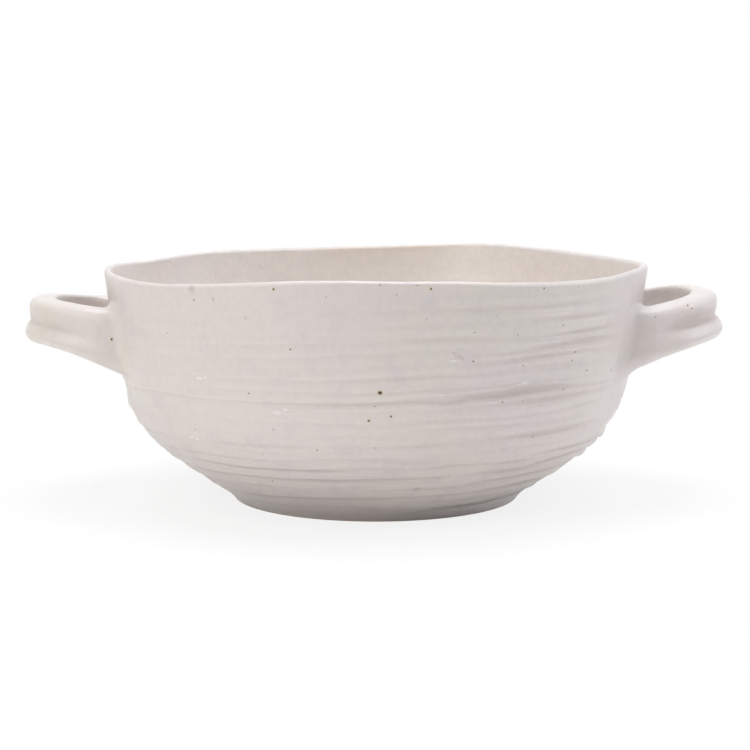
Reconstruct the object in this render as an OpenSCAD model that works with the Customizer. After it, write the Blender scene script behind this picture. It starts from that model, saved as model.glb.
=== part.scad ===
// Lug soup bowl: a wheel-thrown stoneware bowl with two pulled strap handles luted to its wall.
// The origin lies on the bowl's axis in the resting plane, with +Z up, +X through the right
// handle and the front towards -Y.

/* [Bowl] */
// Diameter over the lip
rim_d = 144; // [130:1:160]
// Height of the lip above the resting plane
bowl_h = 62.6; // [56:0.1:72]
// Thickness of the rounded lip
lip_t = 2.2; // [1.6:0.1:3.4]
// Thickness of the wall where it meets the floor
wall_t = 4.6; // [3.6:0.1:6]
// Thickness of the floor above the foot's recess
floor_t = 4.2; // [3:0.1:7]
// Height over which the floor runs up into the wall
floor_blend = 5; // [2:0.5:8]
// Slope of the outer wall where it leaves the foot, in degrees above level
wall_start_angle = 33.5; // [28:0.5:42]
// Slope of the outer wall where it reaches the lip, in degrees above level
wall_end_angle = 84.5; // [80:0.5:90]

/* [Foot] */
// Diameter of the foot over its resting edge
foot_d = 77; // [70:0.5:80]
// Diameter of the wall at the top of the foot
neck_d = 80.4; // [78:0.2:86]
// Height of the foot
neck_h = 2.3; // [1.4:0.1:3.4]
// Width of the flat ring that the bowl stands on
foot_ring_w = 6; // [4:0.5:9]
// Depth of the shallow recess inside the foot ring
foot_recess = 1; // [0.5:0.1:1.8]
// Radius of the foot's softened resting edge
foot_edge_r = 0.6; // [0.3:0.1:0.9]

/* [Throwing rings] */
// Depth of the deepest throwing ring
ring_depth = 0.45; // [0.2:0.05:0.9]
// Width from the middle of a throwing ring to its shoulder
ring_w = 1.3; // [1:0.1:2]

/* [Handles] */
// Distance between the middles of a handle's two legs
leg_spread = 47.4; // [42:0.2:54]
// Thickness of the strap
strap_t = 7.4; // [5.5:0.1:9]
// Depth of the groove round the strap's outer face
groove_depth = 0.75; // [0.3:0.05:1.2]
// How far the strap's lower lip stands out
lower_lip = 1.3; // [0:0.1:1.8]
// How far a leg widens on its outer side on the way to its collar
leg_flare = 2.2; // [0:0.1:3.4]

/* [Left handle] */
// Distance from the rim's edge out to the middle of the strap at the loop's outer end
left_loop_out = 16.8; // [14:0.1:22]
// Drop from the bowl's lip to the strap's crest at the outer end
left_end_drop = 8.65; // [6:0.05:12]
// Drop from the bowl's lip to the strap's crest at the legs
left_leg_drop = 10.8; // [8:0.1:13]
// Height of the strap at the outer end
left_end_h = 11.8; // [9:0.1:14]
// Height of the strap at the legs
left_leg_h = 14.5; // [11:0.1:16]
// Height by which the rear leg is raised and the front leg lowered
left_lean = -0.75; // [-1:0.05:1]

/* [Right handle] */
// Distance from the rim's edge out to the middle of the strap at the loop's outer end
right_loop_out = 16; // [14:0.1:22]
// Drop from the bowl's lip to the strap's crest at the outer end
right_end_drop = 6.6; // [5:0.1:12]
// Drop from the bowl's lip to the strap's crest at the legs
right_leg_drop = 9.65; // [8:0.05:13]
// Height of the strap at the outer end
right_end_h = 12.5; // [9:0.1:14]
// Height of the strap at the legs
right_leg_h = 14; // [11:0.1:16]
// Height by which the rear leg is raised and the front leg lowered
right_lean = 0; // [-1:0.05:1]

/* [Luting collars] */
// Length of a collar between the bowl's wall and the middle of the leg
collar_len = 4.3; // [3.6:0.1:6]
// Radius of the fillet that a collar makes against the wall
fillet_r = 2.6; // [1.5:0.1:3.2]

/* [Hidden] */
$fn = 180;

// Depth that a collar is carried into the wall before the wall is cut from it
overrun = 1.2;

body_colour = "#d8cfca";
handle_colour = "#d7d0c8";
collar_colour = "#d3c9c2";

// Heights of the throwing rings as shares of the bowl's height, and their depths as shares of the deepest
ring_height_shares = [0.115, 0.165, 0.215, 0.27, 0.315, 0.37, 0.46, 0.548, 0.68, 0.755];
ring_depth_shares = [0.8, 0.95, 0.85, 0.9, 0.45, 0.8, 0.4, 1, 0.3, 0.25];

// Reach of the wall curve's two control points as shares of its chord
wall_start_share = 0.425;
wall_end_share = 0.65;

// How late the wall thins towards the lip
lip_taper = 3;

// Reach of a loop's control points as shares of the half spread and of the leg's length
loop_bow_share = 0.57;
leg_bow_share = 0.63;

// Squareness of the strap's section above and below its middle
crest_squareness = 2.5;
under_squareness = 3.4;

// How late the strap's lower edge falls away towards the wall, and how late a leg widens
under_curve = 1.85;
flare_curve = 3;

// Middle and width of the strap's groove and of its lower lip as shares of the strap's half height
groove_mid_share = 0.05;
groove_width_share = 0.42;
lower_lip_mid_share = -0.62;
lower_lip_width_share = 0.3;

// Largest part of a collar's length that its fillet may take up, and how far round the fillet goes
fillet_reach_share = 0.85;
fillet_turn = 72;

wall_steps = 90;
lip_steps = 10;
floor_steps = 14;
edge_steps = 4;
loop_steps = 26;
strap_sides = 36;
fillet_steps = 5;

rim_r = rim_d / 2;
foot_r = foot_d / 2;
floor_z = foot_recess + floor_t;
leg_y = leg_spread / 2;

// Sizes of each handle's strap, and their names
left_strap = [left_end_drop, left_end_h, left_leg_drop, left_leg_h, left_lean, left_loop_out];
right_strap = [right_end_drop, right_end_h, right_leg_drop, right_leg_h, right_lean, right_loop_out];
function end_drop(strap) = strap[0];
function end_h(strap) = strap[1];
function leg_drop(strap) = strap[2];
function leg_h(strap) = strap[3];
function lean(strap) = strap[4];
function loop_x(strap) = rim_r + strap[5];

// Point of a cubic curve with four control points, its slope, and the unit vector to the right of it
function bezier(p, t) =
    pow(1 - t, 3) * p[0] + 3 * pow(1 - t, 2) * t * p[1] + 3 * (1 - t) * t * t * p[2] + pow(t, 3) * p[3];

function bezier_slope(p, t) =
    3 * pow(1 - t, 2) * (p[1] - p[0]) + 6 * (1 - t) * t * (p[2] - p[1]) + 3 * t * t * (p[3] - p[2]);

function bezier_right(p, t) = let (s = bezier_slope(p, t)) [s.y, -s.x] / norm(s);

// Larger of two heights, rounded off where they come within the blend of each other
function soft_max(a, b, blend) = max(a, b) + pow(max(blend - abs(a - b), 0), 2) / (4 * blend);

function bell(u) = exp(-u * u);

function direction(angle) = [cos(angle), sin(angle)];

function sum(list) = [for (item = list) 1] * list;

// Outer wall, as one curve from the foot's neck to the lip
wall_foot = [neck_d / 2, neck_h];
wall_top = [
    rim_r - lip_t / 2 * (1 - sin(wall_end_angle)),
    bowl_h - lip_t / 2 * (1 + cos(wall_end_angle))
];
wall_chord = norm(wall_top - wall_foot);
wall_curve = [
    wall_foot,
    wall_foot + wall_start_share * wall_chord * direction(wall_start_angle),
    wall_top - wall_end_share * wall_chord * direction(wall_end_angle),
    wall_top
];

// Depth of the throwing rings at a height
function ring_at(z) = ring_depth * sum([
    for (i = [0 : len(ring_height_shares) - 1])
        ring_depth_shares[i] * bell((z - ring_height_shares[i] * bowl_h) / ring_w)
]);

outer_wall = [
    for (i = [0 : wall_steps])
        let (p = bezier(wall_curve, i / wall_steps))
        p - ring_at(p.y) * bezier_right(wall_curve, i / wall_steps)
];

lip_middle = wall_top - lip_t / 2 * bezier_right(wall_curve, 1);
lip = [
    for (i = [1 : lip_steps - 1])
        lip_middle + lip_t / 2 * direction(wall_end_angle - 90 + 180 * i / lip_steps)
];

// Inner side of the wall, which thins towards the lip
function inner_point(t) =
    let (thickness = wall_t + (lip_t - wall_t) * pow(t, lip_taper))
    bezier(wall_curve, t) - thickness * bezier_right(wall_curve, t);

inner_wall = [
    for (i = [wall_steps : -1 : 0])
        let (p = inner_point(i / wall_steps))
        [p.x, soft_max(p.y, floor_z, floor_blend)]
];

// The floor goes on from the wall's lower end towards the axis and levels out
floor_edge = inner_point(0);
floor_line = [
    for (i = [1 : floor_steps])
        let (x = floor_edge.x * (1 - i / floor_steps))
        [x, soft_max(floor_edge.y - (floor_edge.x - x) * tan(wall_start_angle), floor_z, floor_blend)]
];

foot_line = concat(
    [
        [0, foot_recess],
        [foot_r - foot_ring_w - foot_recess, foot_recess],
        [foot_r - foot_ring_w, 0]
    ],
    [
        for (i = [0 : edge_steps])
            [foot_r - foot_edge_r, foot_edge_r] + foot_edge_r * direction(-90 + 90 * i / edge_steps)
    ]
);

module bowl_body() {
    color(body_colour)
        rotate_extrude()
            polygon(concat(foot_line, outer_wall, lip, inner_wall, floor_line));
}

// Radius of the outer wall at a height, and its distance from the axis along X at a place across
wall_radii = [for (p = outer_wall) [p.y, p.x]];
function wall_r(z) = lookup(z, wall_radii);
function wall_x(y, z) = sqrt(pow(wall_r(z), 2) - y * y);

// Plane, square to X, where the legs of a handle end and its collars begin
function leg_x(strap) = wall_x(leg_y, bowl_h - leg_drop(strap) - leg_h(strap) / 2) + collar_len;

// Middle line of a strap in plan, from its outer end at 0 to the end of a leg at 1
function loop_curve(strap) =
    let (end_x = leg_x(strap))
    [
        [loop_x(strap), 0],
        [loop_x(strap), loop_bow_share * leg_y],
        [end_x + leg_bow_share * (loop_x(strap) - end_x), leg_y],
        [end_x, leg_y]
    ];

// Crest and lower edge of a strap at a place on its middle line; side is 1 at the rear and -1 in front
function run_share(strap, place) = (loop_x(strap) - place.x) / (loop_x(strap) - leg_x(strap));
function lean_at(strap, place, side) = lean(strap) * side * place.y / leg_y;
function crest_z(strap, place, side) =
    let (fall = (leg_drop(strap) - end_drop(strap)) * run_share(strap, place))
    bowl_h - end_drop(strap) - fall + lean_at(strap, place, side);
function under_z(strap, place, side) =
    let (fall = under_fall(strap) * pow(run_share(strap, place), under_curve))
    bowl_h - end_drop(strap) - end_h(strap) - fall + lean_at(strap, place, side);

// How far the lower edge falls from the outer end to the legs, and its slope where a leg ends
function under_fall(strap) = leg_drop(strap) + leg_h(strap) - end_drop(strap) - end_h(strap);
function under_slope(strap) = under_fall(strap) * under_curve / (loop_x(strap) - leg_x(strap));

// Section of a strap at an angle round it: place across it, and height as a share of half its height
function squareness(angle) = sin(angle) > 0 ? crest_squareness : under_squareness;
function squared(v, angle) = sign(v) * pow(abs(v), 2 / squareness(angle));
function section_height(angle) = squared(sin(angle), angle);
function section_across(angle, share) =
    let (across = squared(cos(angle), angle))
    let (height = section_height(angle))
    let (groove = groove_depth * bell((height - groove_mid_share) / groove_width_share))
    let (lip_out = lower_lip * bell((height - lower_lip_mid_share) / lower_lip_width_share))
    let (flare = leg_flare * pow(share, flare_curve))
    across * strap_t / 2 + max(across, 0) * (lip_out - groove + flare);

function ring_angle(i) = 360 * i / strap_sides;

function strap_ring(strap, w, side) =
    let (middle = bezier(loop_curve(strap), w))
    let (out = bezier_right(loop_curve(strap), w))
    let (crest = crest_z(strap, middle, side))
    let (under = under_z(strap, middle, side))
    [
        for (i = [0 : strap_sides - 1])
            let (across = section_across(ring_angle(i), run_share(strap, middle)))
            [
                middle.x + out.x * across,
                side * (middle.y + out.y * across),
                (crest + under) / 2 + section_height(ring_angle(i)) * (crest - under) / 2
            ]
    ];

// Triangles round a row of rings, each of the same number of points
function skin_faces(rings, sides) = [
    for (k = [0 : rings - 2])
        for (i = [0 : sides - 1])
            let (a = k * sides + i)
            let (b = k * sides + (i + 1) % sides)
            each [[a, b, a + sides], [b, b + sides, a + sides]]
];

// Strap of the handle on the +X side, swept from the front leg round to the rear leg
module strap_loop(strap) {
    rings = [
        for (k = [-loop_steps : loop_steps])
            strap_ring(strap, abs(k) / loop_steps, k < 0 ? -1 : 1)
    ];
    count = len(rings);
    polyhedron(
        [for (ring = rings) each ring],
        concat(
            [[for (i = [strap_sides - 1 : -1 : 0]) i]],
            skin_faces(count, strap_sides),
            [[for (i = [0 : strap_sides - 1]) (count - 1) * strap_sides + i]]
        )
    );
}

// Unit vectors square to a leg's outline where the leg ends, as places across and up
function outline_normals(ring) = [
    for (i = [0 : strap_sides - 1])
        let (s = ring[(i + 1) % strap_sides] - ring[(i + strap_sides - 1) % strap_sides])
        [0, s.z, -s.y] / norm([s.y, s.z])
];

// One point of a collar: the leg's outline, spread by the fillet, set off from the wall and let down
function collar_point(p, out, fall, turn) =
    let (wall_gap = p.x - wall_x(p.y, p.z))
    let (reach = min(fillet_r, fillet_reach_share * wall_gap))
    let (off = reach * (1 - sin(turn)))
    let (q = p + reach * (1 - cos(turn)) * out - [0, 0, fall * (wall_gap - off)])
    [wall_x(q.y, q.z) + off, q.y, q.z];

// Collar of clay and slip between a leg and the wall, for the rear leg on the +X side
module luting_collar(strap, side) {
    leg_ring = [for (p = strap_ring(strap, 1, side)) [p.x, abs(p.y), p.z]];
    out = outline_normals(leg_ring);
    fall = [for (i = [0 : strap_sides - 1]) under_slope(strap) * (1 - section_height(ring_angle(i))) / 2];
    fillet_rings = [
        for (k = [0 : fillet_steps])
            let (turn = fillet_turn * k / fillet_steps)
            [for (i = [0 : strap_sides - 1]) collar_point(leg_ring[i], out[i], fall[i], turn)]
    ];
    seat = [for (p = fillet_rings[fillet_steps]) [wall_x(p.y, p.z) - overrun, p.y, p.z]];
    rings = concat([leg_ring], fillet_rings, [seat]);
    count = len(rings);
    last = (count - 1) * strap_sides;
    difference() {
        polyhedron(
            concat([for (ring = rings) each ring], [sum(seat) / strap_sides]),
            concat(
                [[for (i = [strap_sides - 1 : -1 : 0]) i]],
                skin_faces(count, strap_sides),
                [
                    for (i = [0 : strap_sides - 1])
                        [last + i, last + (i + 1) % strap_sides, count * strap_sides]
                ]
            )
        );
        rotate_extrude()
            polygon(concat([[0, neck_h]], outer_wall, [[0, wall_top.y]]));
    }
}

module left_handle() {
    color(handle_colour)
        mirror([1, 0, 0])
            strap_loop(left_strap);
}

module left_front_collar() {
    color(collar_colour)
        mirror([1, 0, 0])
            mirror([0, 1, 0])
                luting_collar(left_strap, -1);
}

module left_rear_collar() {
    color(collar_colour)
        mirror([1, 0, 0])
            luting_collar(left_strap, 1);
}

module right_handle() {
    color(handle_colour)
        strap_loop(right_strap);
}

module right_front_collar() {
    color(collar_colour)
        mirror([0, 1, 0])
            luting_collar(right_strap, -1);
}

module right_rear_collar() {
    color(collar_colour)
        luting_collar(right_strap, 1);
}

bowl_body();
left_handle();
left_front_collar();
left_rear_collar();
right_handle();
right_front_collar();
right_rear_collar();
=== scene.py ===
import math

import bpy
import numpy as np
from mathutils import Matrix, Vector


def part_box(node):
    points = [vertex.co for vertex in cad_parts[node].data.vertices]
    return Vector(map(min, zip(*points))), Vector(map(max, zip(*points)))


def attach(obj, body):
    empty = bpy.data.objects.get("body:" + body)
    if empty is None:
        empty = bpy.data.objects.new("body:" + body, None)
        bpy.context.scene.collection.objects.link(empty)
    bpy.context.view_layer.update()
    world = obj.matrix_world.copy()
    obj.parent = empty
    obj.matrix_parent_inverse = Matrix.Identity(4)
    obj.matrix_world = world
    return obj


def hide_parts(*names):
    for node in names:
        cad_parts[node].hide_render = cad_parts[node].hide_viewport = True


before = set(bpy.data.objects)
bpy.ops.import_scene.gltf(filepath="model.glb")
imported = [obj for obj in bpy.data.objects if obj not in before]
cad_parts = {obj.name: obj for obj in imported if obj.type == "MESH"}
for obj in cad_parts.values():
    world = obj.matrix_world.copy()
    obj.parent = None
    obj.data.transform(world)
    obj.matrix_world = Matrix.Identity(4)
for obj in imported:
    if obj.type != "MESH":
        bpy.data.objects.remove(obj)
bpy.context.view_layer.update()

# Lengths are in millimetres and angles in degrees, unless a comment says metres; MM turns one into the other.
# An angle round the bowl is counted from the front, -Y, towards the right, +X.
MM = 0.001
BODY_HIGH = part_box("bowl_body")[1]
RIM_R = BODY_HIGH.x / MM
BOWL_H = BODY_HIGH.z / MM

# Wall: thicknesses, blend into the floor, slopes and pulls of its curve's two ends, and how late it thins
LIP_T = 2.2
WALL_T = 4.6
FLOOR_T = 4.2
FLOOR_BLEND = 5.0
WALL_START_ANGLE = 34.0
WALL_END_ANGLE = 84.6
WALL_START_SHARE = 0.415
WALL_END_SHARE = 0.65
LIP_TAPER = 3

# Foot: radii, height of the neck, ring that the bowl stands on, recess and rounded edge
FOOT_R = 38.5
NECK_R = 40.25
NECK_H = 2.35
FOOT_RING_W = 6.0
FOOT_RECESS = 1.0
FOOT_EDGE_R = 0.6
FOOT_EDGE_START = -67.5

# How far the rim rises or sinks at angles round the bowl
RIM_WAVE = {
    -180: 0.15, -165: -0.2, -135: 0.1, -115: -1.3, -90: -0.5, -60: -1.8, -40: -1.65, -30: -0.85, -20: 0.2,
    -10: 0.58, 0: 0.57, 10: 0.38, 20: -0.12, 30: -0.63, 40: -0.9, 50: -0.82, 60: -0.2, 75: 0.5, 90: 0.1,
    108: -0.4, 122: -0.35, 132: 0.6, 140: 1.05, 150: 1.65, 158: 1.6, 168: 0.9,
}
# Angle over which that is smoothed, and the height at which the wave begins
RIM_WAVE_SOFTNESS = 6
RIM_WAVE_START = 34.0

# Throwing rings, one winding line: height at the front on each turn, depth on the left and on the right
RINGS = [
    (2.6, 0.1, 0.4), (4.9, 0.12, 0.2), (7.3, 0.3, 0.36), (10.5, 0.34, 0.3), (13.6, 0.34, 0.32),
    (16.7, 0.34, 0.34), (19.0, 0.12, 0.3), (23.1, 0.3, 0.34), (27.0, 0.04, 0.2), (29.6, 0.04, 0.16),
    (31.9, 0.02, 0.08), (34.4, 0.28, 0.85), (37.5, 0.02, 0.1), (40.2, 0.02, 0.24), (43.0, 0.03, 0.14),
    (45.5, 0.1, 0.36), (48.6, 0.05, 0.24), (52.2, 0.03, 0.24), (55.8, 0.03, 0.2), (59.5, 0.01, 0.06),
]
# Half width of a ring on the left and right, and how many times as wide its upper flank is on the right
RING_W_LEFT = 0.55
RING_W_RIGHT = 0.75
RING_UPPER_SHARE = 1.9
# How fast the rings turn from the left's kind into the right's, with the sine of the angle
RIGHT_SLOPE = 0.75
# How far the line rises towards the right and wobbles, and the wobble's share on the left
RING_TILT = 1.0
RING_WOBBLE = 0.32
LEFT_WOBBLE_SHARE = 0.4
# Ridges beside the rings: height as a share of the depth, places and width in widths of the ring
RIDGE_SHARE = 0.55
RIDGE_ABOVE_LEFT = 1.6
RIDGE_BELOW_RIGHT = 1.9
RIDGE_W_RIGHT = 1.1
# Added share of the depth on the right, and the sines of the angles where it begins and is full
RIGHT_GAIN = 0.4
RIGHT_GAIN_SINES = (0.35, 0.65)
# Where the rings begin to fade round the right handle and are gone: sines of the angles, and heights
SIDE_FADE_SINES = (0.71, 0.93)
SIDE_FADE_HEIGHTS = (21.0, 25.0)
# Dip in the rings' line right of the middle: angle, height, drop, half width in degrees and half height
KINK_ANGLE = 14.0
KINK_HEIGHT = 34.0
KINK_DROP = 0.9
KINK_HALF_ANGLE = 4.0
KINK_HALF_HEIGHT = 3.0
# Breaks in the rings: their spread, the most they deepen a ring, and how they are held back near the kink
BREAK_SPREAD = 0.6
BREAK_MOST = 2.2
BREAK_HELD = 0.65
BREAK_HELD_HALF_HEIGHT = 2.5
# Finger's press at the left root and clay raised below it: angle, height, half angle, half height and depth
PRESSES = [(-84.0, 31.6, 8.0, 2.6, 0.95), (-82.0, 26.6, 10.0, 1.3, -0.35)]

# Soft rings inside: pitch, depth, and how far below the rim they begin and are full
INNER_RING_PITCH = 6.5
INNER_RING_DEPTH = 0.14
INNER_RING_DROPS = (6.0, 18.0)

# Handles: middle line in plan, thickness, squareness of the section, and curve of the lower edge
LEG_Y = 23.7
COLLAR_LEN = 4.3
LOOP_BOW_SHARE = 0.57
LEG_BOW_SHARE = 0.63
STRAP_T = 7.4
LEG_SQUARENESS = 4.5
INNER_SQUARENESS = 8.0
UNDER_SQUARENESS = 3.4
UNDER_CURVE = 1.85
# Crease round a strap: its width above and below, what it loses at the root, and how soon its growth is full
CREASE_ABOVE_SHARE = 0.42
CREASE_BELOW_SHARE = 0.14
CREASE_ROOT_LOSS = 0.9
CREASE_GROWTH_RATE = 3
# Roll below the crease: the share of the height in which it comes out, and what it loses at the root
ROLL_RISE_SHARE = 0.7
ROLL_ROOT_LOSS = 0.65
# Share of a strap's run at which its root begins, and how late the strap widens
ROOT_START_SHARE = 0.52
FLARE_CURVE = 3
# Each handle. Loop: reach past the rim. Drops: from the rim to the crest, at the outer end and at the legs.
# Lean: rise of the rear leg and fall of the front leg. Flare: widening at the legs. Lip: size of the roll.
# Crease: its height in half heights of the strap, its depth, and how it sinks and deepens towards the legs.
# Blends and offs: reach of the fillets along the wall and off it, at the outer face, underneath and on top.
STRAPS = {
    "left": {
        "loop_out": 16.75, "end_drop": 8.65, "end_h": 11.8, "leg_drop": 10.8, "leg_h": 14.5, "lean": -0.75,
        "flare": 1.6, "crest_squareness": 3.2, "lip": 1.2, "roll_softness": 0.9,
        "crease": 0.0, "crease_sink": 0.1, "crease_depth": 0.6, "crease_growth": -0.25,
        "outer_blend": 4.4, "under_blend": 1.2, "under_off": 1.1, "crest_blend": 2.8, "crest_off": 2.9,
    },
    "right": {
        "loop_out": 15.5, "end_drop": 6.6, "end_h": 12.5, "leg_drop": 9.65, "leg_h": 14.0, "lean": 0.0,
        "flare": 3.2, "crest_squareness": 2.9, "lip": 1.75, "roll_softness": 0.7,
        "crease": -0.02, "crease_sink": -0.12, "crease_depth": 0.75, "crease_growth": 0.25,
        "outer_blend": 4.4, "under_blend": 5.2, "under_off": 4.2, "crest_blend": 1.4, "crest_off": 1.6,
    },
}
# Direction along X of each handle
SIDES = {"left": -1, "right": 1}

# Fillet of a leg into the wall: reach off the wall and along it, and the most it takes of the gap to the wall
FILLET_OFF = 2.8
FILLET_ALONG = 2.4
FILLET_OFF_SHARE = 0.85
# How quickly the lower edge's, the crest's and the outer face's own reach gives way round the section
UNDER_FALLOFF = 2
CREST_FALLOFF = 4
OUTER_FALLOFF = 2
# Depth of a fillet's edge in the wall and how late it sinks, and depth of the hidden skirt behind the edge
SEAT_DEPTH = 0.08
SEAT_CURVE = 6
ROOT_DEPTH = 1.2

# Shares across a handle's section: start of its outer face, and inwards the start and full of its inner face
OUTER_FACE = 0.3
INNER_FACE = (0.4, 0.9)

# Fineness of the meshes, and size of the middle ring underneath and on the floor as a share of the whole
COLUMNS = 288
UNDERSIDE_ROWS = 7
FOOT_RING_ROWS = 4
FOOT_EDGE_ROWS = 4
NECK_ROWS = 3
WALL_ROWS = 256
LIP_ROWS = 12
INNER_ROWS = 42
FLOOR_ROWS = 12
LOOP_ROWS = 60
STRAP_SIDES = 128
OUTLINE_STEPS = 720
FILLET_ROWS = 11
UNDERSIDE_MIDDLE_SHARE = 1 / 30
FLOOR_MIDDLE_SHARE = 0.03
# Times that a place on the uneven wall is worked out again, each time nearer
WALL_TRIES = 3
# Margin of the map at its lower and upper edge
MAP_MARGIN = 0.02

# Rows of the foot's rounded edge that have glaze
GLAZED_EDGE_ROWS = 2

# Thin glaze on the lip's inner edge at the rear: turn to either side, half width, rows and strength
STREAK_TURN = 6.0
STREAK_WIDTH = 13.0
STREAK_ROWS = 2.0
STREAK_TONE = 0.55

# Unevenness left by the hand; waves are lengths in rows and columns of the mesh
HAND_SEED = 7
WALL_UNEVEN = 0.2
SWELL_WAVES = (76, 44)
RIPPLE_SHARE = 0.35
RIPPLE_WAVES = (24, 9)
RILL_DEPTH = 0.022
RILL_WAVES = (5, 60)
WOBBLE_WAVES = (30, 14)
BREAK_WAVES = (10, 26)
STRAP_UNEVEN = 0.1
STRAP_WAVES = (30, 22)
# Rows of the wall in which the unevenness comes to its full, and its shares at the floor's edge and middle
UNEVEN_ROWS = 12
FLOOR_UNEVEN_SHARE = 0.6
MIDDLE_UNEVEN_SHARE = 0.3

# Colours of the glaze, its specks and the clay, and of painted shade and a painted highlight, as sRGB
GLAZE_PINK = (222, 213, 211)
GLAZE_CREAM = (222, 214, 208)
GLAZE_GREY = (217, 209, 208)
HANDLE_PINK = (222, 213, 210)
HANDLE_CREAM = (222, 214, 206)
HANDLE_GREY = (217, 209, 206)
# Tone of grooves, creases and dents: partly pooled glaze, partly painted shade
GROOVE_POOL_AND_SHADE = (202, 189, 184)
INSIDE_TONE = (230, 221, 214)
# Painted highlight: the glint on a raised blob of glaze
BLOB_HIGHLIGHT = (250, 247, 245)
SPECK_CORE = (18, 12, 8)
SPECK_HALO = (172, 142, 72)
SMUDGE_TONE = (160, 149, 147)
FINE_SPECK = (128, 112, 98)
BARE_CLAY = (206, 184, 160)
DARK_CLAY_SHARE = 0.93

# Noises of the glaze: scale per millimetre, detail and roughness
CLOUD_NOISE = (0.035, 3, 0.5)
PATCH_NOISE = (0.16, 4, 0.6)
GRAIN_NOISE = (0.7, 3, 0.55)
MOTTLE_NOISE = (0.34, 3, 0.6)
BRUSH_NOISE = (0.75, 3, 0.6)
SHAKE_NOISE = (1.6, 1, 0.5)
# Share of its scale that the brush noise has in the level directions, so that it runs round the bowl
BRUSH_STRETCH = 0.05
# Noise at which cream and grey begin and are full, and the grain's noise and tones
CREAM_RANGE = (0.38, 0.66)
GREY_RANGE = (0.48, 0.72)
GRAIN_RANGE = (0.25, 0.75)
GRAIN_TONES = (0.975, 1.02)
# Relief at which pooled glaze and painted shade begin in a groove and are full, and their most share of the
# groove's tone
POOL_AND_SHADE_RANGE = (-0.05, -0.6)
POOL_AND_SHADE_SHARE = 0.72
# Mottle inside: noise where it begins and is full, and its least and most share of the inside's tone
WARM_RANGE = (0.32, 0.72)
WARM_SHARES = (0.4, 0.9)
# Painted shade towards the foot: its share of the full tone, and the heights where the tone rises and is full
FOOT_SHADE_SHARE = 0.84
FOOT_SHADE_HEIGHTS = (1.0, 11.5)
# Gloss: noise where the roughness begins to rise and is full, its least and most, and what bare clay adds
ROUGH_RANGE = (0.3, 0.7)
ROUGHNESS = (0.33, 0.45)
BARE_ROUGHNESS = 0.4
GLAZE_IOR = 1.5

# Iron specks on the wall: angle, height and size
IRON_SPECKS = [
    (0.8, 37.0, 0.36), (-1.4, 30.1, 0.23), (3.0, 31.2, 0.19), (-19.2, 60.9, 0.21), (10.1, 61.2, 0.22),
    (-9.1, 59.3, 0.11), (-16.3, 46.9, 0.15), (-37.0, 57.4, 0.15), (-0.2, 33.7, 0.11), (18.8, 44.0, 0.15),
    (29.7, 42.4, 0.13), (43.6, 44.3, 0.16), (42.6, 42.4, 0.15), (47.8, 39.4, 0.17), (26.0, 33.7, 0.16),
    (-45.2, 48.8, 0.10), (-25.7, 35.9, 0.13), (-64.0, 32.8, 0.15), (-12.6, 22.4, 0.13), (8.9, 23.3, 0.10),
    (-27.6, 12.3, 0.15), (28.6, 12.5, 0.16), (41.5, 35.4, 0.12), (27.9, 49.8, 0.10), (-42.1, 25.2, 0.10),
    (31.0, 33.5, 0.11), (35.4, 31.9, 0.11), (36.3, 23.8, 0.11), (41.9, 22.9, 0.10), (54.0, 23.5, 0.12),
    (39.0, 51.3, 0.12), (23.2, 54.7, 0.09), (-0.2, 23.2, 0.10), (-25.5, 20.5, 0.11),
    (0.7, 62.2, 0.13), (7.6, 62.1, 0.12), (33.3, 60.5, 0.14), (42.2, 60.3, 0.12),
]

# More specks, strewn over the rear of the wall: how many, the least and the largest of each value
REAR_SPECK_COUNT = 26
REAR_SPECK_RANGE = [(78.0, 8.0, 0.09), (282.0, 60.0, 0.2)]

# Grey smudges, raised blobs of glaze with a painted highlight, and small dents with painted shade and pooled
# glaze, on the wall: angle, height and size
SMUDGES = [
    (-37.3, 60.1, 1.0), (-32.3, 58.0, 0.55), (-25.2, 54.0, 0.35), (11.0, 11.1, 0.8), (-21.5, 27.2, 0.35),
]
BLOBS = [
    (30.5, 38.1, 1.2), (29.2, 37.7, 0.9), (-19.9, 31.5, 1.2), (-17.9, 32.3, 0.9), (-15.9, 32.2, 0.7),
    (-44.8, 22.5, 1.1), (-42.9, 22.3, 0.9), (-37.4, 38.6, 1.2), (-35.8, 38.9, 0.9), (13.0, 36.2, 0.7),
    (15.0, 44.4, 0.9),
]
# Dents are darkened with painted shade and pooled glaze, besides their bump
DENTS = [(14.9, 46.2, 0.4), (15.5, 45.7, 0.45), (16.1, 45.2, 0.45), (16.7, 44.8, 0.4)]

# Iron specks on the handles: place across and up, and size
LUG_SPECKS = {
    "left": [(-66.7, 45.2, 0.24)],
    "right": [(79.4, 53.5, 0.2), (80.6, 52.6, 0.17), (77.0, 54.0, 0.14)],
}

# Marks: the distance in sizes at which each begins and is full
MARK_EDGES = {
    "core": (1.15, 0.7), "halo": (2.1, 1.3), "smudge": (1.6, 0.2), "blob": (1.5, 0.2), "dent": (1.5, 0.3),
}
# Marks in the order in which they lie over each other, with their share of their own colour at the full; the
# dents' colour is pooled glaze and painted shade, and the blobs' is a painted highlight
MARK_LAYERS = [
    ("smudge", 0.35, SMUDGE_TONE), ("dent", 0.35, GROOVE_POOL_AND_SHADE), ("blob", 0.5, BLOB_HIGHLIGHT),
    ("halo", 0.7, SPECK_HALO), ("fine", 1.0, FINE_SPECK), ("core", 1.0, SPECK_CORE),
]
# Height in the bump of each noise and mark
BUMPS = {"brush": 0.035, "grain": 0.02, "patches": 0.2, "core": -0.06, "blob": 0.18, "dent": -0.16}
# How flat the blobs of glaze are, and the reach of the shake that makes the marks' edges ragged
FLATNESS = 2.2
SHAKE = 0.4
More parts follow.
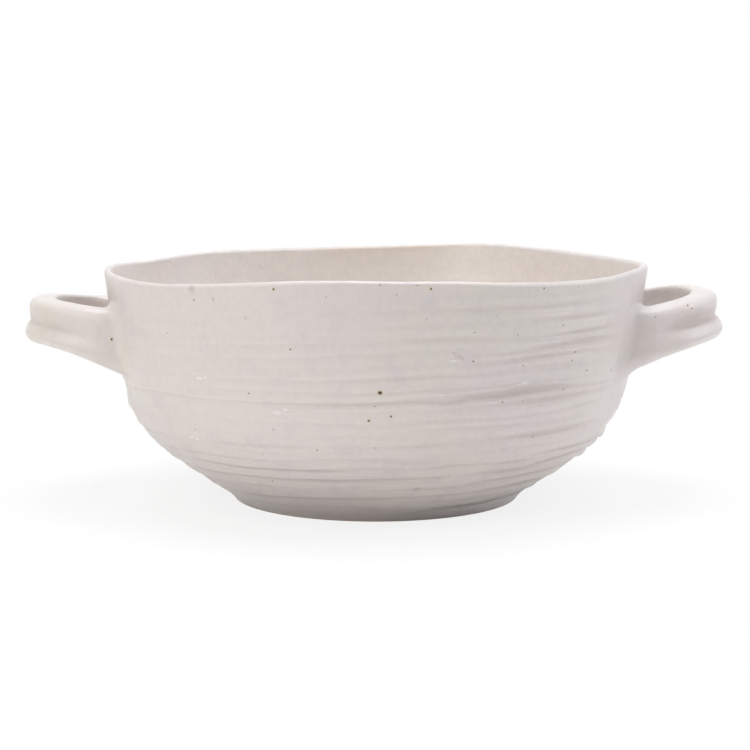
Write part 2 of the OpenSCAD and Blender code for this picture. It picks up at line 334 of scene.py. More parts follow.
# Fine specks, one in a cell: cells per millimetre, draws between which its size grows, sizes, and its edge
FINE_SCALE = 0.17
FINE_DRAWS = (0.45, 1.0)
FINE_SIZES = (0.0, 0.05)
FINE_EDGE = (0.012, -0.016)
# A second draw, for the strength of a fine speck
FINE_STRENGTH_DRAWS = (0.1, 0.9)
FINE_STRENGTHS = (0.2, 0.8)
# Distance, in sizes, that counts as far from every mark
FAR_FROM_MARKS = 9.0

# Floor under the bowl, painted darker there as painted contact shade, and away from it, as sRGB; its gap to
# the foot, and its half size in metres
FLOOR_SHADE_NEAR = (206, 204, 202)
FLOOR_FAR = (254, 253, 252)
FLOOR_GAP = 0.02
FLOOR_HALF_SIZE = 3.0
# Distances in metres over which the floor's painted shade turns into its far tone and over which it fades
# into white, from this share
FLOOR_SHADE_TURN = (0.038, 0.054)
SHADOW_FADE_OUT = (0.07, 0.24)
SHADOW_FADE = 0.84

# Even light from all round, and white
AMBIENT = 0.02
WHITE = (1, 1, 1, 1)
# Lamps: name, place and size in metres, watts and colour
LAMPS = [
    ("front left", (-0.8, -0.75, 0.55), 0.7, 6.2, (1.0, 0.968, 0.9)),
    ("front right", (0.8, -0.75, 0.55), 0.7, 0.6, (0.95, 0.97, 1.0)),
    ("right", (1.05, 0.05, 0.5), 0.7, 4.6, (0.96, 0.95, 1.0)),
    ("top", (0.0, 0.1, 1.15), 0.9, 13.4, (0.925, 0.965, 1.0)),
]
# Camera: place in metres, how far it looks down, lens and width of the sensor
CAMERA_PLACE = (-0.0002, -0.48033, 0.09397)
CAMERA_FALL = 7.32
CAMERA_LENS = 86.13
CAMERA_SENSOR = 36.0


def smooth_step(u):
    """0 below 0, 1 above 1 and a soft rise between."""
    u = np.clip(u, 0, 1)
    return u * u * (3 - 2 * u)


def rise(value, start, full):
    """Soft rise from 0 where a value is at the start to 1 where it is full."""
    return smooth_step((value - start) / (full - start))


def mix(first, second, share):
    """First value, turned into the second by a share."""
    return first + share * (second - first)


def bell(u):
    """1 at 0, and falling off to both sides."""
    return np.exp(-u * u)


def bezier(points, t):
    """Points and unit vectors to the right of a plane cubic curve, at each share t of it."""
    p = np.array(points, float)
    t = np.atleast_1d(np.asarray(t, float))[:, None]
    places = (1 - t) ** 3 * p[0] + 3 * (1 - t) ** 2 * t * p[1] + 3 * (1 - t) * t * t * p[2] + t**3 * p[3]
    slopes = 3 * (1 - t) ** 2 * (p[1] - p[0]) + 6 * (1 - t) * t * (p[2] - p[1]) + 3 * t * t * (p[3] - p[2])
    right = np.column_stack([slopes[:, 1], -slopes[:, 0]])
    return places, right / np.linalg.norm(right, axis=1, keepdims=True)


def direction(angle):
    """Unit vectors in a plane at angles in degrees."""
    return np.stack([np.cos(np.radians(angle)), np.sin(np.radians(angle))], axis=-1)


def soft_max(a, b, blend):
    """Larger of two heights, rounded off where they come within the blend of each other."""
    return np.maximum(a, b) + np.maximum(blend - np.abs(a - b), 0) ** 2 / (4 * blend)


def smooth_noise(rng, rows, columns, row_wave, column_wave):
    """Random field that wraps round, with waves about that many rows and columns long and a spread of one."""
    spectrum = np.fft.fft2(rng.standard_normal((rows, columns)))
    along_rows = np.fft.fftfreq(rows)[:, None] * row_wave
    along_columns = np.fft.fftfreq(columns)[None, :] * column_wave
    spectrum *= np.exp(-2 * (along_rows**2 + along_columns**2))
    spectrum[0, 0] = 0
    field = np.fft.ifft2(spectrum).real
    return field / field.std()


def rim_rise(angles):
    """How far the rim rises at angles round the bowl."""
    known = np.array(sorted(RIM_WAVE), float)
    rises = np.array([RIM_WAVE[a] for a in sorted(RIM_WAVE)])
    around = np.concatenate([known - 360, known, known + 360])
    fine = np.arange(-360, 360, 1.0)
    steps = np.interp(fine, around, np.tile(rises, 3))
    reach = 2 * RIM_WAVE_SOFTNESS
    window = bell(np.arange(-reach, reach + 1) / RIM_WAVE_SOFTNESS)
    soft = np.convolve(steps, window / window.sum(), mode="same")
    return np.interp(angles, fine, soft)


def wall_curve():
    """Control points of the outer wall, from the foot's neck to the lip."""
    tilt = math.radians(WALL_END_ANGLE)
    foot = np.array([NECK_R, NECK_H])
    top = np.array([RIM_R - LIP_T / 2 * (1 - math.sin(tilt)), BOWL_H - LIP_T / 2 * (1 + math.cos(tilt))])
    chord = np.linalg.norm(top - foot)
    start = foot + WALL_START_SHARE * chord * direction(WALL_START_ANGLE)
    end = top - WALL_END_SHARE * chord * direction(WALL_END_ANGLE)
    return [foot, start, end, top]


def foot_profile(neck_top):
    """Half section of the foot, from the middle of the underside to just below the top of the neck."""
    recess_r = FOOT_R - FOOT_RING_W - FOOT_RECESS
    recess_radii = recess_r * np.linspace(UNDERSIDE_MIDDLE_SHARE, 1, UNDERSIDE_ROWS)
    underside = [(r, FOOT_RECESS) for r in recess_radii]
    ring_radii = np.linspace(FOOT_R - FOOT_RING_W, FOOT_R - FOOT_EDGE_R, FOOT_RING_ROWS)
    ring_face = [(r, 0.0) for r in ring_radii]
    edge_middle = np.array([FOOT_R - FOOT_EDGE_R, FOOT_EDGE_R])
    edge = edge_middle + FOOT_EDGE_R * direction(np.linspace(FOOT_EDGE_START, 0, FOOT_EDGE_ROWS))
    neck = np.linspace(edge[-1], neck_top, NECK_ROWS + 2)[1:-1]
    return np.vstack([underside, ring_face, edge, neck])


def inside_profile(curve):
    """Half section of the inside from the lip down, and of the floor from there to its middle."""
    shares = np.linspace(1, 0, INNER_ROWS)
    outside, out = bezier(curve, shares)
    thickness = mix(WALL_T, LIP_T, shares**LIP_TAPER)
    inner = outside - thickness[:, None] * out
    floor_z = FOOT_RECESS + FLOOR_T
    floor_r = inner[-1, 0] * np.linspace(1, FLOOR_MIDDLE_SHARE, FLOOR_ROWS + 1)[1:]
    floor_fall = inner[-1, 1] - (inner[-1, 0] - floor_r) * math.tan(math.radians(WALL_START_ANGLE))
    floor = np.column_stack([floor_r, soft_max(floor_fall, floor_z, FLOOR_BLEND)])
    inner[:, 1] = soft_max(inner[:, 1], floor_z, FLOOR_BLEND)
    return inner, floor


def bowl_profile():
    """Half section of the bowl from the middle of the underside over the lip to the middle of the floor.

    Returns the points, and the rows at which the wall, the lip, the inside and the floor begin.
    """
    curve = wall_curve()
    wall, right = bezier(curve, np.linspace(0, 1, WALL_ROWS))
    lip_middle = wall[-1] - LIP_T / 2 * right[-1]
    lip_angles = WALL_END_ANGLE - 90 + np.linspace(0, 180, LIP_ROWS + 2)[1:-1]
    lip = lip_middle + LIP_T / 2 * direction(lip_angles)
    parts = [foot_profile(curve[0]), wall, lip, *inside_profile(curve)]
    starts = np.cumsum([len(part) for part in parts])
    return np.vstack(parts), starts[:4]


def ring_relief(angles, heights, wobble):
    """Relief of the winding throwing rings on the outer wall: grooves below zero, ridges above."""
    ring_z, left, right = (np.array(column) for column in zip(*RINGS))
    sideways = np.sin(np.radians(angles))
    to_right = smooth_step(0.5 + RIGHT_SLOPE * sideways)
    kink = bell((angles - KINK_ANGLE) / KINK_HALF_ANGLE) * bell((heights - KINK_HEIGHT) / KINK_HALF_HEIGHT)
    wobble_share = mix(LEFT_WOBBLE_SHARE, 1, to_right)
    level = heights + KINK_DROP * kink - RING_TILT * sideways + RING_WOBBLE * wobble_share * wobble
    turn = np.interp(level, ring_z, np.arange(len(RINGS))) - angles / 360
    pitch = np.interp(level, ring_z, np.gradient(ring_z))
    above = (turn - np.round(turn)) * pitch

    depth_left, depth_right = (np.interp(level, ring_z, depth, left=0, right=0) for depth in (left, right))
    gain = 1 + RIGHT_GAIN * rise(sideways, *RIGHT_GAIN_SINES)
    side_fade = rise(sideways, *SIDE_FADE_SINES) * rise(heights, *SIDE_FADE_HEIGHTS)
    depth = mix(depth_left, gain * depth_right, to_right) * (1 - side_fade)
    width = mix(RING_W_LEFT, RING_W_RIGHT, to_right)
    upper = width * mix(1, RING_UPPER_SHARE, to_right)
    groove = bell(above / np.where(above > 0, upper, width))
    ridge_left = bell((above - RIDGE_ABOVE_LEFT * width) / width)
    ridge_right = bell((above + RIDGE_BELOW_RIGHT * width) / (RIDGE_W_RIGHT * width))
    return depth * (RIDGE_SHARE * mix(ridge_left, ridge_right, to_right) - groove)


def inner_relief(angles, heights):
    """Relief of the soft winding rings inside."""
    spiral = 2 * math.pi * (heights / INNER_RING_PITCH + angles / 360)
    return INNER_RING_DEPTH * rise(BOWL_H - heights, *INNER_RING_DROPS) * np.sin(spiral)


def press_depth(angles, heights):
    """How deep the wall is pressed in beside the left handle's root."""
    total = 0
    for angle, height, half_width, half_height, depth in PRESSES:
        total = total + depth * bell((angles - angle) / half_width) * bell((heights - height) / half_height)
    return total


def bowl_grid():
    """Points of the bowl as rows round it, what the glaze needs to know of each, and the rows of the wall."""
    rng = np.random.default_rng(HAND_SEED)
    profile, (wall_row, lip_row, inner_row, floor_row) = bowl_profile()
    neck_row = wall_row - NECK_ROWS
    rows = len(profile)
    row = np.arange(rows)
    heights = profile[:, 1]
    angles = np.linspace(-180, 180, COLUMNS, endpoint=False)
    on_wall = (row >= wall_row) & (row < lip_row)
    on_inside = (row >= inner_row) & (row < floor_row)

    hand = WALL_UNEVEN * smooth_noise(rng, rows, COLUMNS, *SWELL_WAVES)
    hand += RIPPLE_SHARE * WALL_UNEVEN * smooth_noise(rng, rows, COLUMNS, *RIPPLE_WAVES)
    hand += RILL_DEPTH * smooth_noise(rng, rows, COLUMNS, *RILL_WAVES)
    wobble = smooth_noise(rng, rows, COLUMNS, *WOBBLE_WAVES)
    held = 1 - BREAK_HELD * bell((heights - KINK_HEIGHT) / BREAK_HELD_HALF_HEIGHT)[:, None]
    breaks = BREAK_SPREAD * held * smooth_noise(rng, rows, COLUMNS, *BREAK_WAVES)
    broken = np.clip(1 + breaks, 0, BREAK_MOST)

    relief = np.zeros((rows, COLUMNS))
    rings = ring_relief(angles[None, :], heights[on_wall][:, None], wobble[on_wall])
    relief[on_wall] = broken[on_wall] * rings
    relief[on_inside] = inner_relief(angles[None, :], heights[on_inside][:, None])
    uneven_rows = [neck_row, wall_row + UNEVEN_ROWS, inner_row, floor_row, rows]
    uneven = np.interp(row, uneven_rows, [0, 1, 1, FLOOR_UNEVEN_SHARE, MIDDLE_UNEVEN_SHARE])
    shift = relief + uneven[:, None] * hand
    shift -= on_wall[:, None] * press_depth(angles[None, :], heights[:, None])

    run = np.gradient(profile, axis=0)
    out = np.column_stack([run[:, 1], -run[:, 0]])
    out /= np.linalg.norm(out, axis=1, keepdims=True)
    radius = profile[:, :1] + out[:, :1] * shift
    lift = rise(heights, RIM_WAVE_START, BOWL_H)[:, None] * rim_rise(angles)[None, :]
    z = heights[:, None] + out[:, 1:] * shift + lift
    turn = np.radians(angles)[None, :]
    points = np.stack([radius * np.sin(turn), -radius * np.cos(turn), z], axis=-1)

    clay = row < neck_row - GLAZED_EDGE_ROWS
    thin = STREAK_TONE * bell((row - inner_row + STREAK_ROWS) / STREAK_ROWS)
    streak = bell((np.abs(angles) - 180 + STREAK_TURN) / STREAK_WIDTH)
    bare = clay[:, None] + thin[:, None] * streak[None, :]
    within = np.repeat((row >= inner_row).astype(float)[:, None], COLUMNS, axis=1)
    return points, {"relief": relief, "bare": bare, "inside": within}, slice(neck_row, lip_row)


BOWL_POINTS, BOWL_FIELDS, WALL_SLICE = bowl_grid()
WALL_HEIGHTS = BOWL_POINTS[WALL_SLICE, :, 2]
WALL_RADII = np.hypot(BOWL_POINTS[WALL_SLICE, :, 0], BOWL_POINTS[WALL_SLICE, :, 1])


def wall_radius(angle, z):
    """Radius of the uneven outer wall at an angle and a height."""
    column = (angle + 180) / 360 * COLUMNS
    low = math.floor(column)
    radii = [np.interp(z, WALL_HEIGHTS[:, c % COLUMNS], WALL_RADII[:, c % COLUMNS]) for c in (low, low + 1)]
    return mix(radii[0], radii[1], column - low)


def wall_x(sign, y, z):
    """Distance of the uneven outer wall from the axis along X, on the right or left, at a place across."""
    x = math.sqrt(max(RIM_R**2 - y * y, 0))
    for attempt in range(WALL_TRIES):
        x = math.sqrt(wall_radius(math.degrees(math.atan2(sign * x, -y)), z) ** 2 - y * y)
    return x


def wall_point(angle, z):
    """Point on the uneven outer wall."""
    r = wall_radius(angle, z)
    return r * math.sin(math.radians(angle)), -r * math.cos(math.radians(angle)), z


def strap_outline(strap, run_share):
    """Plain outline of a strap, evenly spaced: places across, outwards positive, and heights, as shares."""
    plain = direction(180 + 360 * np.arange(OUTLINE_STEPS + 1) / OUTLINE_STEPS)
    outer_crest = mix(strap["crest_squareness"], LEG_SQUARENESS, run_share)
    crest = np.where(plain[:, :1] > 0, outer_crest, INNER_SQUARENESS)
    squareness = np.where(plain[:, 1:] > 0, crest, UNDER_SQUARENESS)
    square = np.sign(plain) * np.abs(plain) ** (2 / squareness)
    steps = np.linalg.norm(np.diff(square * (STRAP_T, strap["end_h"]), axis=0), axis=1)
    run = np.concatenate([[0], np.cumsum(steps)])
    even = run[-1] * np.arange(STRAP_SIDES) / STRAP_SIDES
    return np.interp(even, run, square[:, 0]), np.interp(even, run, square[:, 1])


def strap_section(strap, run_share):
    """Section of a strap with its crease and the roll below.

    Returns places across it, heights as shares, and depths of the crease.
    """
    across, height = strap_outline(strap, run_share)
    crease = strap["crease"] - strap["crease_sink"] * run_share
    below = np.clip((crease - height) / (1 + crease) / ROLL_RISE_SHARE, 0, 1)
    to_root = rise(run_share, ROOT_START_SHARE, 1)
    swell = mix(np.sin(math.pi / 2 * below), smooth_step(below), strap["roll_softness"])
    roll = strap["lip"] * (1 - ROLL_ROOT_LOSS * to_root) * swell
    width = np.where(height > crease, CREASE_ABOVE_SHARE, CREASE_BELOW_SHARE)
    deepest = strap["crease_depth"] + strap["crease_growth"] * smooth_step(CREASE_GROWTH_RATE * run_share)
    dip = deepest * (1 - CREASE_ROOT_LOSS * to_root) * bell((height - crease) / width)
    widened = strap["flare"] * run_share**FLARE_CURVE
    outer = np.maximum(across, 0)
    return across * STRAP_T / 2 + outer * (roll - dip + widened), height, outer * dip


def leg_end(sign, strap):
    """Distance from the axis at which the legs of a handle end."""
    return wall_x(sign, LEG_Y, BOWL_H - strap["leg_drop"] - strap["leg_h"] / 2) + COLLAR_LEN


def strap_middle(strap, end_x, share):
    """Middle of a strap in plan at a share of the way to a leg, the way out, and its share of the run."""
    loop_x = RIM_R + strap["loop_out"]
    curve = [
        (loop_x, 0),
        (loop_x, LOOP_BOW_SHARE * LEG_Y),
        (mix(end_x, loop_x, LEG_BOW_SHARE), LEG_Y),
        (end_x, LEG_Y),
    ]
    (middle,), (out,) = bezier(curve, share)
    return middle, out, (loop_x - middle[0]) / (loop_x - end_x)


def under_fall(strap):
    """How far a strap's lower edge falls from the outer end to the legs."""
    return strap["leg_drop"] + strap["leg_h"] - strap["end_drop"] - strap["end_h"]


def strap_ring(strap, end_x, share, side):
    """Ring of points round a strap on the +X side, at a share of the way from its outer end to a leg."""
    middle, out, run_share = strap_middle(strap, end_x, share)
    lean = strap["lean"] * side * middle[1] / LEG_Y
    crest = BOWL_H - mix(strap["end_drop"], strap["leg_drop"], run_share) + lean
    under = BOWL_H - strap["end_drop"] - strap["end_h"] - under_fall(strap) * run_share**UNDER_CURVE + lean
    offset, height = strap_section(strap, run_share)[:2]
    return np.column_stack([
        middle[0] + out[0] * offset,
        side * (middle[1] + out[1] * offset),
        (crest + under) / 2 + height * (crest - under) / 2,
    ])


def collar_rings(sign, strap, end_x, side):
    """Rings that carry a leg of a handle into the wall, from the leg to the seat and the skirt behind it."""
    leg = strap_ring(strap, end_x, 1, side)
    across, height = strap_outline(strap, 1)
    along = np.roll(leg, -1, axis=0) - np.roll(leg, 1, axis=0)
    out = np.column_stack([side * along[:, 2], -side * along[:, 1]])
    out /= np.linalg.norm(out, axis=1, keepdims=True)
    slope = under_fall(strap) * UNDER_CURVE / (RIM_R + strap["loop_out"] - end_x)
    fall = slope * (1 - height) / 2
    gap = np.array([x - wall_x(sign, y, z) for x, y, z in leg])

    below = np.clip(-height, 0, 1) ** UNDER_FALLOFF
    above = np.clip(height, 0, 1) ** CREST_FALLOFF
    outer = np.clip(across, 0, 1) ** OUTER_FALLOFF
    own_reach = (strap["under_off"] - FILLET_OFF) * below + (strap["crest_off"] - FILLET_OFF) * above
    reach = np.minimum(FILLET_OFF + own_reach, FILLET_OFF_SHARE * gap)
    spread = mix(FILLET_ALONG, strap["outer_blend"], outer)
    spread += (strap["under_blend"] - spread) * below + (strap["crest_blend"] - spread) * above

    turns = np.radians(np.append(np.linspace(0, 90, FILLET_ROWS - 1), 90))
    sinks = SEAT_DEPTH * np.sin(turns) ** SEAT_CURVE
    sinks[-1] = ROOT_DEPTH
    rings = []
    for turn, sink in zip(turns, sinks):
        off = reach * (1 - math.sin(turn))
        y = leg[:, 1] + spread * (1 - math.cos(turn)) * out[:, 0]
        z = leg[:, 2] + spread * (1 - math.cos(turn)) * out[:, 1] - fall * (gap - off)
        wall = np.array([wall_x(sign, *place) for place in zip(y, z)])
        rings.append(np.column_stack([wall + off - sink, y, z]))
    return rings


def handle_grid(name, sign):
    """Points of a handle and its two fillets, as rings from the front seat to the rear, and their relief."""
    strap = STRAPS[name]
    end_x = leg_end(sign, strap)
    steps = range(-LOOP_ROWS, LOOP_ROWS + 1)
    loop = [strap_ring(strap, end_x, abs(k) / LOOP_ROWS, -1 if k < 0 else 1) for k in steps]
    front = collar_rings(sign, strap, end_x, -1)
    rear = collar_rings(sign, strap, end_x, 1)
    rings = np.array(front[::-1] + loop + rear)

    rng = np.random.default_rng(HAND_SEED + (1 if sign > 0 else 2))
    count = len(rings)
    fade = np.interp(np.arange(count), [FILLET_ROWS, 2 * FILLET_ROWS], [0, 1])
    fade = np.minimum(fade, fade[::-1])[:, None]
    uneven = STRAP_UNEVEN * fade * smooth_noise(rng, count, STRAP_SIDES, *STRAP_WAVES)
    outward = rings - rings.mean(axis=1, keepdims=True)
    rings += uneven[:, :, None] * outward / np.linalg.norm(outward, axis=2, keepdims=True)
    rings[:, :, 0] *= sign

    run_shares = [strap_middle(strap, end_x, abs(k) / LOOP_ROWS)[2] for k in steps]
    dips = np.array([strap_section(strap, share)[2] for share in run_shares])
    seat_dips = np.linspace(0, 1, FILLET_ROWS)[:, None] * dips[0]
    # The crease's depth, carried as relief, darkens the crease with pooled glaze and painted shade
    return rings, -np.vstack([seat_dips, dips, seat_dips[::-1]])


def grid_mesh(name, points, attributes, flip):
    """Closed skin over rows of points that run round, with its two ends filled and a map for the bake."""
    rows, columns = points.shape[:2]
    ends = [points[0].mean(axis=0), points[-1].mean(axis=0)]
    vertices = np.vstack([points.reshape(-1, 3), ends]) * MM
    lengths = np.linalg.norm(np.diff(points, axis=0), axis=2).mean(axis=1)
    run = np.concatenate([[0], np.cumsum(lengths)])
    run = mix(MAP_MARGIN, 1 - MAP_MARGIN, run / run[-1])

    faces = []
    maps = []
    for i in range(rows - 1):
        for j in range(columns):
            k = (j + 1) % columns
            faces.append((i * columns + j, i * columns + k, (i + 1) * columns + k, (i + 1) * columns + j))
            left, right = j / columns, (j + 1) / columns
            maps.append([(left, run[i]), (right, run[i]), (right, run[i + 1]), (left, run[i + 1])])
    last = (rows - 1) * columns
    for j in range(columns):
        k = (j + 1) % columns
        left, right = j / columns, (j + 1) / columns
        faces.append((k, j, rows * columns))
        maps.append([(right, run[0]), (left, run[0]), (0.5, 0.0)])
        faces.append((last + j, last + k, rows * columns + 1))
        maps.append([(left, run[-1]), (right, run[-1]), (0.5, 1.0)])
    if flip:
        faces = [face[::-1] for face in faces]
        maps = [corners[::-1] for corners in maps]

    mesh = bpy.data.meshes.new(name)
    mesh.from_pydata(vertices.tolist(), [], faces)
    layer = mesh.uv_layers.new(name="OFBake")
    layer.data.foreach_set("uv", np.array([c for corners in maps for c in corners], np.float32).ravel())
    for label, field in attributes.items():
        values = np.concatenate([field.ravel(), [field[0].mean(), field[-1].mean()]]).astype(np.float32)
        mesh.attributes.new(label, "FLOAT", "POINT").data.foreach_set("value", values)
    mesh.shade_smooth()
    mesh.validate()
    thing = bpy.data.objects.new(name, mesh)
    bpy.context.scene.collection.objects.link(thing)
    return thing


def linear(colour):
    """An sRGB colour in 0 to 255 as the linear colour of a shader socket."""
    shares = np.array(colour) / 255
    flat = np.where(shares <= 0.04045, shares / 12.92, ((shares + 0.055) / 1.055) ** 2.4)
    return (*flat.tolist(), 1.0)


class Graph:
    """A node tree whose inputs take plain values and sockets alike."""

    def __init__(self, tree):
        self.tree = tree
        tree.nodes.clear()

    def add(self, kind, inputs, **settings):
        node = self.tree.nodes.new(kind)
        for name, value in settings.items():
            setattr(node, name, value)
        for key, value in inputs.items():
            if isinstance(value, bpy.types.NodeSocket):
                self.tree.links.new(value, node.inputs[key])
            else:
                node.inputs[key].default_value = value
        return node

    def math(self, operation, *values):
        return self.add("ShaderNodeMath", dict(enumerate(values)), operation=operation).outputs[0]

    def vector(self, operation, *values):
        return self.add("ShaderNodeVectorMath", dict(enumerate(values)), operation=operation).outputs[0]

    def distance(self, first, second):
        inputs = {0: first, 1: second}
        return self.add("ShaderNodeVectorMath", inputs, operation="DISTANCE").outputs["Value"]

    def blend(self, share, first, second, blend_type="MIX"):
        inputs = {0: share, 6: first, 7: second}
        return self.add("ShaderNodeMix", inputs, data_type="RGBA", blend_type=blend_type).outputs[2]

    def ramp(self, value, start, end, first=0.0, last=1.0):
        inputs = {0: value, 1: start, 2: end, 3: first, 4: last}
        return self.add("ShaderNodeMapRange", inputs, interpolation_type="SMOOTHSTEP").outputs[0]

    def noise(self, place, scale, detail, roughness, output="Fac"):
        inputs = {"Vector": place, "Scale": scale, "Detail": detail, "Roughness": roughness}
        return self.add("ShaderNodeTexNoise", inputs).outputs[output]

    def attribute(self, name):
        return self.add("ShaderNodeAttribute", {}, attribute_name=name).outputs["Fac"]

    def place(self):
        return self.add("ShaderNodeTexCoord", {}).outputs["Object"]


def nearest(graph, place, marks):
    """Distance to the nearest of some marks, as a share of its size."""
    near = FAR_FROM_MARKS
    for centre, size in marks:
        near = graph.math("MINIMUM", near, graph.math("DIVIDE", graph.distance(place, centre), size))
    return near


def wall_marks(marks):
    """Marks given by angle and height as places on the wall, each with its size."""
    return [(wall_point(angle, height), size) for angle, height, size in marks]


def glaze_colour(graph, place, patches, grain, colours):
    """Clouds of the glaze's three colours, with pooled glaze and painted shade in the rings and creases,
    painted shade towards the foot, and warmer inside.
    """
    pink, cream, grey = (linear(colour) for colour in colours)
    clouds = graph.noise(place, *CLOUD_NOISE)
    colour = graph.blend(graph.ramp(clouds, *CREAM_RANGE), pink, cream)
    colour = graph.blend(graph.ramp(patches, *GREY_RANGE), colour, grey)
    # Grooves of the rings and the handles' creases darkened: partly pooled glaze, partly painted shade
    pooled_and_shaded = graph.math("MULTIPLY", graph.ramp(graph.attribute("relief"), *POOL_AND_SHADE_RANGE), POOL_AND_SHADE_SHARE)
    colour = graph.blend(pooled_and_shaded, colour, linear(GROOVE_POOL_AND_SHADE))
    mottle = graph.ramp(graph.noise(place, *MOTTLE_NOISE), *WARM_RANGE, *WARM_SHARES)
    warmth = graph.math("MULTIPLY", graph.attribute("inside"), mottle)
    colour = graph.blend(warmth, colour, linear(INSIDE_TONE))
    up = graph.add("ShaderNodeSeparateXYZ", {0: place}).outputs["Z"]
    # Painted shade: the colour darkens towards the foot
    painted_foot_shade = graph.ramp(up, *FOOT_SHADE_HEIGHTS, FOOT_SHADE_SHARE, 1.0)
    tone = graph.math("MULTIPLY", graph.ramp(grain, *GRAIN_RANGE, *GRAIN_TONES), painted_foot_shade)
    return graph.blend(1.0, colour, tone, "MULTIPLY")


def fine_specks(graph, place):
    """Where fine specks lie, one in each cell, from 0 to 1."""
    cells = graph.add("ShaderNodeTexVoronoi", {"Vector": place, "Scale": FINE_SCALE, "Randomness": 1.0})
    draw = graph.add("ShaderNodeSeparateColor", {0: cells.outputs["Color"]})
    size = graph.ramp(draw.outputs[0], *FINE_DRAWS, *FINE_SIZES)
    speck = graph.ramp(graph.math("SUBTRACT", cells.outputs["Distance"], size), *FINE_EDGE)
    return graph.math("MULTIPLY", speck, graph.ramp(draw.outputs[1], *FINE_STRENGTH_DRAWS, *FINE_STRENGTHS))


def glaze_marks(graph, place, specks, smudges, blobs, dents):
    """Where each kind of mark lies on the glaze, from 0 to 1."""
    shaken = graph.noise(place, *SHAKE_NOISE, "Color")
    shift = graph.vector("MULTIPLY_ADD", shaken, (SHAKE,) * 3, (-SHAKE / 2,) * 3)
    ragged = graph.vector("ADD", place, shift)
    flattened = graph.vector("MULTIPLY", ragged, (1.0, 1.0, FLATNESS))
    flat_blobs = [((x, y, FLATNESS * z), size) for (x, y, z), size in blobs]
    iron = nearest(graph, ragged, specks)
    distances = {
        "core": iron,
        "halo": iron,
        "smudge": nearest(graph, ragged, smudges),
        "blob": nearest(graph, flattened, flat_blobs),
        "dent": nearest(graph, ragged, dents),
    }
    marks = {kind: graph.ramp(distances[kind], *edge) for kind, edge in MARK_EDGES.items()}
    return {**marks, "fine": fine_specks(graph, ragged)}


def glaze(name, colours, *mark_lists):
    """Satin stoneware glaze with clouds of colour, iron specks, smudges, blobs with a painted highlight,
    dents with painted shade, painted shade towards the foot and a bare foot.
    """
    material = bpy.data.materials.new(name)
    material.use_nodes = True
    graph = Graph(material.node_tree)
    place = graph.vector("MULTIPLY", graph.place(), (1 / MM,) * 3)
    patches = graph.noise(place, *PATCH_NOISE)
    grain = graph.noise(place, *GRAIN_NOISE)
    marks = glaze_marks(graph, place, *mark_lists)

    colour = glaze_colour(graph, place, patches, grain, colours)
    # Marks over the colour; the blobs' tone is a painted highlight, and the dents' is pooled glaze and
    # painted shade
    for kind, share, tone in MARK_LAYERS:
        colour = graph.blend(graph.math("MULTIPLY", marks[kind], share), colour, linear(tone))
    bare = graph.attribute("bare")
    dark_clay = tuple(DARK_CLAY_SHARE * c for c in BARE_CLAY)
    clay = graph.blend(grain, linear(BARE_CLAY), linear(dark_clay))
    colour = graph.blend(bare, colour, clay)

    brushed = graph.vector("MULTIPLY", place, (BRUSH_STRETCH, BRUSH_STRETCH, 1.0))
    textures = {"brush": graph.noise(brushed, *BRUSH_NOISE), "grain": grain, "patches": patches, **marks}
    height = 0.0
    for kind, depth in BUMPS.items():
        height = graph.math("MULTIPLY_ADD", textures[kind], depth, height)
    bump = graph.add("ShaderNodeBump", {"Strength": 1.0, "Distance": MM, "Height": height})
    rough = graph.math("MULTIPLY_ADD", bare, BARE_ROUGHNESS, graph.ramp(patches, *ROUGH_RANGE, *ROUGHNESS))
    surface = graph.add("ShaderNodeBsdfPrincipled", {
        "Base Color": colour, "Roughness": rough, "IOR": GLAZE_IOR, "Normal": bump.outputs[0],
    })
    graph.add("ShaderNodeOutputMaterial", {"Surface": surface.outputs[0]})
    return material


def make_bowl():
    bowl = grid_mesh("bowl", BOWL_POINTS, BOWL_FIELDS, flip=False)
    low, high = REAR_SPECK_RANGE
    strewn = np.random.default_rng(HAND_SEED).uniform(low, high, (REAR_SPECK_COUNT, 3)).tolist()
    marks = [wall_marks(marks) for marks in (IRON_SPECKS + strewn, SMUDGES, BLOBS, DENTS)]
    bowl.data.materials.append(glaze("body glaze", (GLAZE_PINK, GLAZE_CREAM, GLAZE_GREY), *marks))
    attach(bowl, "root")
    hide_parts("bowl_body")


def lug_marks(strap, rings, marks):
    """Marks given by place across and up as places on the front of a handle's outer face, with sizes."""
    across = strap_outline(strap, 0)[0]
    face = rings[:len(rings) // 2][:, across > OUTER_FACE].reshape(-1, 3)
    places = [np.hypot(face[:, 0] - x, face[:, 2] - z).argmin() for x, z, size in marks]
    return [(tuple(face[place].tolist()), mark[2]) for place, mark in zip(places, marks)]


def make_handles():
    shapes = {name: handle_grid(name, sign) for name, sign in SIDES.items()}
    specks = []
    for name, (rings, relief) in shapes.items():
        specks += lug_marks(STRAPS[name], rings, LUG_SPECKS[name])
    finish = glaze("handle glaze", (HANDLE_PINK, HANDLE_CREAM, HANDLE_GREY), specks, [], [], [])
    for name, (rings, relief) in shapes.items():
        inner = rise(-strap_outline(STRAPS[name], 0)[0], *INNER_FACE)
        within = np.repeat(inner[None, :], len(rings), axis=0)
        handle = grid_mesh(f"{name}_lug", rings, {"relief": relief, "inside": within}, flip=name == "right")
        handle.data.materials.append(finish)
        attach(handle, "root")
        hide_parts(f"{name}_handle", f"{name}_front_collar", f"{name}_rear_collar")


def white_seen(graph):
    """1 for rays that see the white surroundings: from the camera, mirrored or let through."""
    path = graph.add("ShaderNodeLightPath", {})
    seen = [path.outputs[name] for name in ("Is Camera Ray", "Is Glossy Ray", "Is Transmission Ray")]
    return graph.math("MAXIMUM", seen[0], graph.math("MAXIMUM", seen[1], seen[2]))


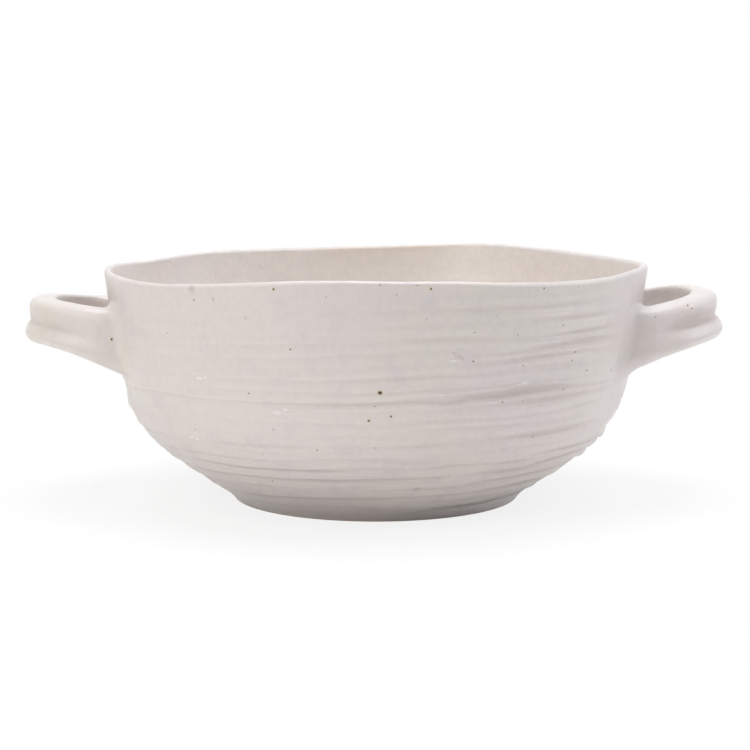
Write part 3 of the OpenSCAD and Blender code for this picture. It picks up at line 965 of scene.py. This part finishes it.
def floor_material():
    """Floor that keeps the bowl's shadow near it, is painted darker round the foot as painted shade, and
    fades into the white surroundings.
    """
    material = bpy.data.materials.new("floor")
    material.use_nodes = True
    graph = Graph(material.node_tree)
    away = graph.distance(graph.place(), (0, 0, 0))
    # Painted shade: the floor is darker round the foot
    tone = graph.blend(graph.ramp(away, *FLOOR_SHADE_TURN), linear(FLOOR_SHADE_NEAR), linear(FLOOR_FAR))
    matt = graph.add("ShaderNodeBsdfDiffuse", {"Color": tone}).outputs[0]
    white = graph.add("ShaderNodeEmission", {"Color": WHITE, "Strength": 1.0}).outputs[0]
    far = graph.ramp(away, *SHADOW_FADE_OUT, SHADOW_FADE, 1.0)
    share = graph.math("MULTIPLY", far, white_seen(graph))
    surface = graph.add("ShaderNodeMixShader", {0: share, 1: matt, 2: white})
    graph.add("ShaderNodeOutputMaterial", {"Surface": surface.outputs[0]})
    return material


def make_floor():
    size = FLOOR_HALF_SIZE
    level = -FLOOR_GAP * MM
    corners = [(-size, -size, level), (size, -size, level), (size, size, level), (-size, size, level)]
    mesh = bpy.data.meshes.new("floor")
    mesh.from_pydata(corners, [], [(0, 1, 2, 3)])
    mesh.materials.append(floor_material())
    floor = bpy.data.objects.new("floor", mesh)
    bpy.context.scene.collection.objects.link(floor)


def make_light(name, place, size, watts, colour):
    """Soft square lamp that faces the bowl."""
    lamp = bpy.data.lights.new(name, "AREA")
    lamp.shape = "SQUARE"
    lamp.size = size
    lamp.energy = watts
    lamp.color = colour
    thing = bpy.data.objects.new(name, lamp)
    thing.location = place
    aim = Vector((0, 0, BOWL_H * MM / 2)) - thing.location
    thing.rotation_euler = aim.to_track_quat("-Z", "Y").to_euler()
    bpy.context.scene.collection.objects.link(thing)


def make_surroundings():
    """White background for the camera, and an even pale light for everything else."""
    world = bpy.data.worlds.new("studio")
    bpy.context.scene.world = world
    world.use_nodes = True
    graph = Graph(world.node_tree)
    strength = graph.ramp(white_seen(graph), 0.0, 1.0, AMBIENT, 1.0)
    back = graph.add("ShaderNodeBackground", {"Color": WHITE, "Strength": strength})
    graph.add("ShaderNodeOutputWorld", {"Surface": back.outputs[0]})


def make_camera():
    data = bpy.data.cameras.new("camera")
    data.lens = CAMERA_LENS
    data.sensor_width = CAMERA_SENSOR
    camera = bpy.data.objects.new("camera", data)
    camera.location = CAMERA_PLACE
    camera.rotation_euler = (math.radians(90 - CAMERA_FALL), 0, 0)
    bpy.context.scene.collection.objects.link(camera)
    bpy.context.scene.camera = camera


make_bowl()
make_handles()
make_floor()
make_surroundings()
for lamp in LAMPS:
    make_light(*lamp)
make_camera()
bpy.context.scene.view_settings.view_transform = "Standard"
